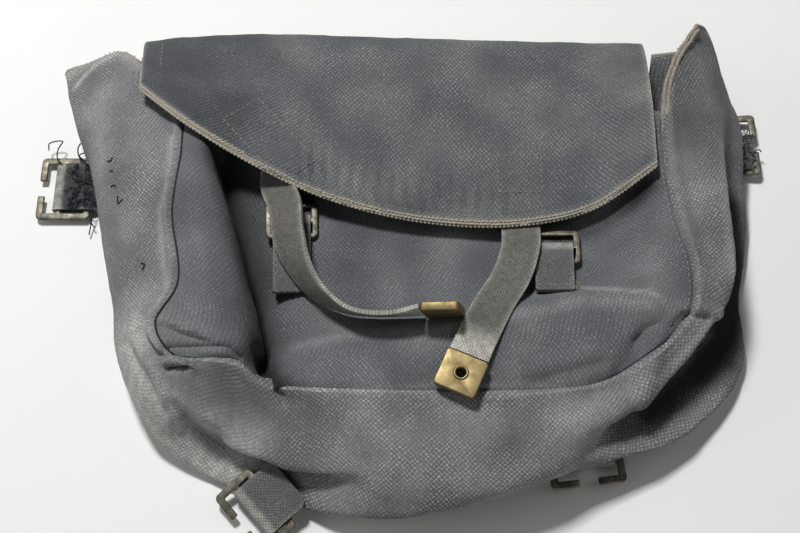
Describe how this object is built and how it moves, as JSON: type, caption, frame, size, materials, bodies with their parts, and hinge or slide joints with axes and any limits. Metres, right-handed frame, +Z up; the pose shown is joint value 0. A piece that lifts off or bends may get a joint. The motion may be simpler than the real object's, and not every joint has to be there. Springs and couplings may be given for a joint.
{
  "type": "military haversack",
  "caption": "Empty webbing haversack lying on its back, with bellows sides, an askew flap, undone closing straps, brass strap tips, front buckles and open side and base hooks.",
  "frame": {"origin": "on the surface under the flat back, where the back panel's rest face lies", "axes": "+X across the pack to the right as its front is read, +Y from the base to the mouth, +Z up out of the front"},
  "size_m": [0.418, 0.2937, 0.0761],
  "materials": {
    "webbing": "worn woven cotton webbing",
    "dark_webbing": "faded blue-grey webbing",
    "strap_webbing": "worn narrow webbing",
    "brass": "dull aged brass"
  },
  "bodies": {
    "root": {"back_panel": "webbing", "front_panel": "webbing", "gusset_left": "webbing", "gusset_right": "webbing", "base_panel": "webbing", "flap": "dark_webbing", "closing_strap_left": "strap_webbing", "closing_strap_right": "strap_webbing", "front_tab_left": "strap_webbing", "front_tab_right": "strap_webbing", "side_tab_left": "strap_webbing", "side_tab_right": "strap_webbing", "base_tab_left": "strap_webbing", "base_tab_right": "strap_webbing", "strap_tip_left": "brass", "strap_tip_right": "brass", "front_buckle_left": "brass", "front_buckle_right": "brass", "side_hook_left": "brass", "side_hook_right": "brass", "base_hook_left": "brass", "base_hook_right": "brass"}
  },
  "joints": []
}
